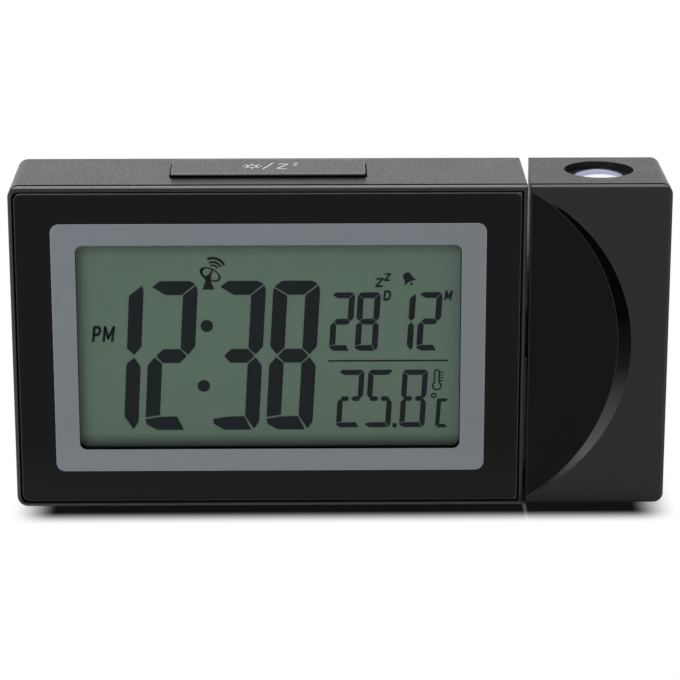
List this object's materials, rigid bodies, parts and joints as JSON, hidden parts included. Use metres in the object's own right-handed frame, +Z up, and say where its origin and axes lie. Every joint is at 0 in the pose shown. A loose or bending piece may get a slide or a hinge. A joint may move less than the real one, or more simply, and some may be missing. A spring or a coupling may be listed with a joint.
{
  "type": "projection alarm clock",
  "caption": "Box-shaped digital alarm clock with a framed display, a snooze key on top and a tilting time projector on its right end.",
  "frame": {"origin": "on the table, under the middle of the whole clock", "axes": "+Z up, +X to the right seen from the front, +Y to the back; the display faces -Y"},
  "size_m": [0.148, 0.0272, 0.0772],
  "materials": {
    "black_plastic": "satin",
    "button_plastic": "satin charcoal",
    "case_plastic": "fine-grained charcoal",
    "cell_jacket": "plain jacket",
    "circuit_board": "green board",
    "clear_plastic": "clear, polished",
    "contact_metal": "nickel-plated",
    "copper": "enamelled copper",
    "display_panel": "gloss",
    "ferrite": "matte ferrite",
    "lcd": "grey-green display glass",
    "lens_glass": "coated lens",
    "rubber": "matte",
    "screw_steel": "zinc-plated",
    "white_plastic": "satin"
  },
  "bodies": {
    "clock": {"front_frame": "case_plastic", "main_case": "case_plastic", "feet": "rubber", "display_window": "display_panel", "lcd_panel": "lcd", "light_guide": "clear_plastic", "backlight_leds": "white_plastic", "lcd_holder": "white_plastic", "zebra_strips": "rubber", "main_board": "circuit_board", "main_chip": "black_plastic", "board_ribbon": "white_plastic", "battery_cell_lower": "cell_jacket", "battery_cell_upper": "cell_jacket", "contact_springs": "contact_metal", "contact_plates": "contact_metal", "snooze_board": "circuit_board", "snooze_switch": "black_plastic", "button_board": "circuit_board", "button_switches": "black_plastic", "alarm_switch": "contact_metal", "temperature_sensor": "black_plastic", "power_jack": "black_plastic", "sounder": "black_plastic", "aerial_rod": "ferrite", "aerial_coil": "copper", "arm_socket": "white_plastic", "case_screws": "screw_steel", "board_screws": "screw_steel"},
    "projector": {"pivot_hub": "black_plastic", "hub_screws": "screw_steel", "friction_washer": "contact_metal", "retaining_clip": "contact_metal", "projector_cable": "rubber", "projector_front": "case_plastic", "projector_rear": "case_plastic", "projector_screws": "screw_steel", "optics_tube": "black_plastic", "condenser_lens": "lens_glass", "projection_lcd": "lcd", "lamp_board": "circuit_board", "projector_led": "clear_plastic", "optics_screws": "screw_steel", "barrel_spring": "contact_metal"},
    "focus_wheel": {"focus_wheel": "button_plastic"},
    "lens": {"lens_barrel": "black_plastic", "projection_lens": "lens_glass"},
    "snooze_key": {"snooze_key": "case_plastic"},
    "alarm_slider": {"alarm_slider": "button_plastic"},
    "battery_door": {"battery_door": "case_plastic"},
    "clock_set_button": {"clock_set_button": "button_plastic"},
    "alarm_set_button": {"alarm_set_button": "button_plastic"},
    "plus_button": {"plus_button": "button_plastic"},
    "minus_button": {"minus_button": "button_plastic"},
    "unit_button": {"unit_button": "button_plastic"},
    "signal_button": {"signal_button": "button_plastic"}
  },
  "joints": [
    {"name": "projector_tilt", "type": "hinge", "parent": "clock", "child": "projector", "pos_m": [0.0417, 0, 0.0387], "axis": [-1, 0, 0], "range_deg": [0, 90]},
    {"name": "focus_turn", "type": "hinge", "parent": "projector", "child": "focus_wheel", "pos_m": [0.0588, 0.00133, 0.0625], "axis": [0, 0, 1], "range_deg": [0, 180]},
    {"name": "lens_slide", "type": "slide", "parent": "projector", "child": "lens", "axis": [0, 0, 1], "range_m": [0, 0.0012]},
    {"name": "snooze_press", "type": "slide", "parent": "clock", "child": "snooze_key", "axis": [0, 0, -1], "range_m": [0, 0.0009], "stiffness_N_per_m": 600},
    {"name": "alarm_switch_slide", "type": "slide", "parent": "clock", "child": "alarm_slider", "axis": [1, 0, 0], "range_m": [0, 0.004]},
    {"name": "battery_door_open", "type": "hinge", "parent": "clock", "child": "battery_door", "pos_m": [-0.01615, 0.0136, 0.0039], "axis": [-1, 0, 0], "range_deg": [0, 60]},
    {"name": "clock_set_press", "type": "slide", "parent": "clock", "child": "clock_set_button", "axis": [0, -1, 0], "range_m": [0, 0.0005], "stiffness_N_per_m": 500},
    {"name": "alarm_set_press", "type": "slide", "parent": "clock", "child": "alarm_set_button", "axis": [0, -1, 0], "range_m": [0, 0.0005], "stiffness_N_per_m": 500},
    {"name": "plus_press", "type": "slide", "parent": "clock", "child": "plus_button", "axis": [0, -1, 0], "range_m": [0, 0.0005], "stiffness_N_per_m": 500},
    {"name": "minus_press", "type": "slide", "parent": "clock", "child": "minus_button", "axis": [0, -1, 0], "range_m": [0, 0.0005], "stiffness_N_per_m": 500},
    {"name": "unit_press", "type": "slide", "parent": "clock", "child": "unit_button", "axis": [0, -1, 0], "range_m": [0, 0.0005], "stiffness_N_per_m": 500},
    {"name": "signal_press", "type": "slide", "parent": "clock", "child": "signal_button", "axis": [0, -1, 0], "range_m": [0, 0.0005], "stiffness_N_per_m": 500}
  ],
  "couplings": [
    {"joint": "focus_turn", "follows": "lens_slide", "rad_per_m": 2617.9}
  ]
}
